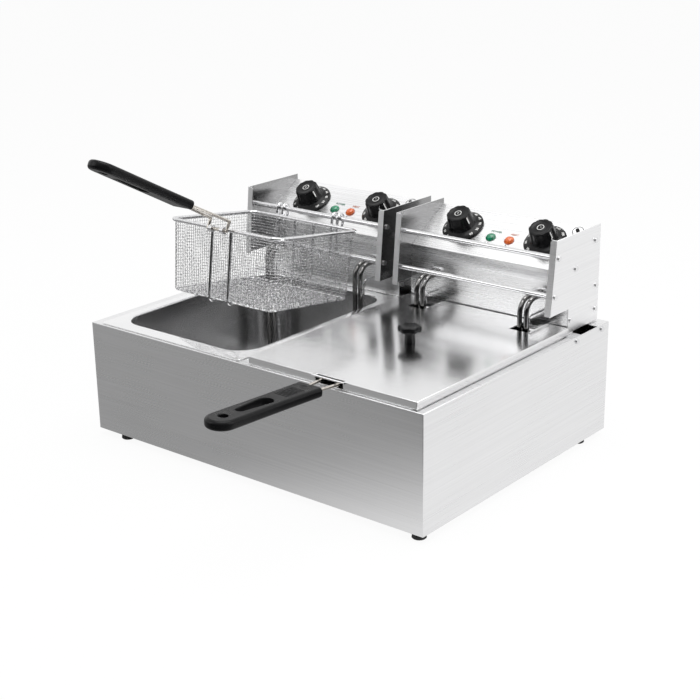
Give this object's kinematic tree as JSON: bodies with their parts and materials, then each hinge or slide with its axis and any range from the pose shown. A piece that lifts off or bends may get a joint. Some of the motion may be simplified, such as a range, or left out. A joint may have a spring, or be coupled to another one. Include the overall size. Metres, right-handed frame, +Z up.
{
  "type": "deep fryer",
  "caption": "Countertop electric deep fryer with side-by-side lift-out oil tanks, hinged-handle wire baskets, control heads with timer and thermostat knobs, and a flat lid.",
  "frame": {"origin": "on the surface that the feet stand on, midway between the outermost points left and right, and front and back", "axes": "+X to the right seen from the front, +Y to the back, +Z up"},
  "size_m": [0.5534, 0.6152, 0.4119],
  "materials": {
    "brushed_sheet": "fine horizontal brushing",
    "mirror_sheet": "polished sheet with faint brushing",
    "folded_sheet": "plain mill sheet",
    "polished_wire": "bright plated wire",
    "woven_mesh": "bright woven wire mesh",
    "element_tube": "dull heat-darkened tube",
    "screw_steel": "bright zinc",
    "black_phenolic": "semi-gloss moulded",
    "black_grip": "satin moulded",
    "green_lens": "clear tinted lens",
    "orange_lens": "clear tinted lens",
    "white_block": "moulded ceramic-filled",
    "rubber_foot": "matt"
  },
  "bodies": {
    "cabinet": {"cabinet_shell": "brushed_sheet", "cabinet_base": "folded_sheet", "cross_rail": "folded_sheet", "centre_beam": "mirror_sheet", "cabinet_screws": "screw_steel", "feet": "rubber_foot"},
    "tank_left": {"tank_left": "mirror_sheet"},
    "head_left": {"side_plates_left": "mirror_sheet", "control_box_left": "mirror_sheet", "rear_cover_left": "mirror_sheet", "hanging_rods_left": "polished_wire", "head_screws_left": "screw_steel", "element_left": "element_tube", "element_flanges_left": "screw_steel", "thermostat_left": "screw_steel", "limiter_left": "black_phenolic", "oil_sensors_left": "screw_steel", "timer_left": "black_phenolic", "lamp_green_left": "green_lens", "lamp_orange_left": "orange_lens", "reset_collar_left": "screw_steel", "terminal_block_left": "white_block", "seat_switch_left": "black_phenolic", "cable_gland_left": "black_phenolic"},
    "timer_knob_left": {"timer_knob_left": "black_phenolic"},
    "thermostat_knob_left": {"thermostat_knob_left": "black_phenolic"},
    "reset_button_left": {"reset_button_left": "black_phenolic"},
    "basket_left": {"basket_frame_left": "polished_wire", "basket_mesh_left": "woven_mesh"},
    "handle_left": {"handle_wires_left": "polished_wire", "handle_grip_left": "black_grip"},
    "tank_right": {"tank_right": "mirror_sheet"},
    "head_right": {"side_plates_right": "mirror_sheet", "control_box_right": "mirror_sheet", "rear_cover_right": "mirror_sheet", "hanging_rods_right": "polished_wire", "head_screws_right": "screw_steel", "element_right": "element_tube", "element_flanges_right": "screw_steel", "thermostat_right": "screw_steel", "limiter_right": "black_phenolic", "oil_sensors_right": "screw_steel", "timer_right": "black_phenolic", "lamp_green_right": "green_lens", "lamp_orange_right": "orange_lens", "reset_collar_right": "screw_steel", "terminal_block_right": "white_block", "seat_switch_right": "black_phenolic", "cable_gland_right": "black_phenolic"},
    "timer_knob_right": {"timer_knob_right": "black_phenolic"},
    "thermostat_knob_right": {"thermostat_knob_right": "black_phenolic"},
    "reset_button_right": {"reset_button_right": "black_phenolic"},
    "basket_right": {"basket_frame_right": "polished_wire", "basket_mesh_right": "woven_mesh"},
    "handle_right": {"handle_wires_right": "polished_wire", "handle_grip_right": "black_grip"},
    "lid": {"lid_panel": "mirror_sheet", "lid_bridge": "polished_wire", "lid_knob": "black_phenolic", "lid_screw": "screw_steel"}
  },
  "joints": [
    {"name": "tank_left_lift", "type": "slide", "parent": "cabinet", "child": "tank_left", "axis": [0, 0, 1], "range_m": [0, 0.2]},
    {"name": "head_left_lift", "type": "slide", "parent": "tank_left", "child": "head_left", "axis": [0, 0, 1], "range_m": [0, 0.25]},
    {"name": "timer_knob_left_turn", "type": "hinge", "parent": "head_left", "child": "timer_knob_left", "pos_m": [-0.2025, 0.25834, 0.2657], "axis": [0, -0.5, 0.866], "range_deg": [-300, 0]},
    {"name": "thermostat_knob_left_turn", "type": "hinge", "parent": "head_left", "child": "thermostat_knob_left", "pos_m": [-0.0725, 0.25834, 0.2657], "axis": [0, -0.5, 0.866], "range_deg": [-270, 0]},
    {"name": "reset_button_left_press", "type": "slide", "parent": "head_left", "child": "reset_button_left", "axis": [0, 0.5, -0.866], "range_m": [0, 0.002], "stiffness_N_per_m": 200, "springref_m": -0.001},
    {"name": "tank_right_lift", "type": "slide", "parent": "cabinet", "child": "tank_right", "axis": [0, 0, 1], "range_m": [0, 0.2]},
    {"name": "head_right_lift", "type": "slide", "parent": "tank_right", "child": "head_right", "axis": [0, 0, 1], "range_m": [0, 0.25]},
    {"name": "timer_knob_right_turn", "type": "hinge", "parent": "head_right", "child": "timer_knob_right", "pos_m": [0.0685, 0.25834, 0.2657], "axis": [0, -0.5, 0.866], "range_deg": [-300, 0]},
    {"name": "thermostat_knob_right_turn", "type": "hinge", "parent": "head_right", "child": "thermostat_knob_right", "pos_m": [0.1985, 0.25834, 0.2657], "axis": [0, -0.5, 0.866], "range_deg": [-270, 0]},
    {"name": "reset_button_right_press", "type": "slide", "parent": "head_right", "child": "reset_button_right", "axis": [0, 0.5, -0.866], "range_m": [0, 0.002], "stiffness_N_per_m": 200, "springref_m": -0.001},
    {"name": "basket_left_lift", "type": "slide", "parent": "head_left", "child": "basket_left", "axis": [0, 0.138, 0.9904], "range_m": [0, 0.15]},
    {"name": "handle_left_swing", "type": "hinge", "parent": "basket_left", "child": "handle_left", "pos_m": [-0.1485, 0.00412, 0.28313], "axis": [-1, 0, 0], "range_deg": [-16.5, 4.5]},
    {"name": "basket_right_lift", "type": "slide", "parent": "head_right", "child": "basket_right", "axis": [0, 0, 1], "range_m": [0, 0.02]},
    {"name": "handle_right_swing", "type": "hinge", "parent": "basket_right", "child": "handle_right", "pos_m": [0.1355, -0.07036, 0.1505], "axis": [-1, 0, 0], "range_deg": [0, 0.8]},
    {"name": "lid_slide_off", "type": "slide", "parent": "basket_right", "child": "lid", "axis": [0, -0.891, 0.454], "range_m": [0, 0.25]}
  ]
}
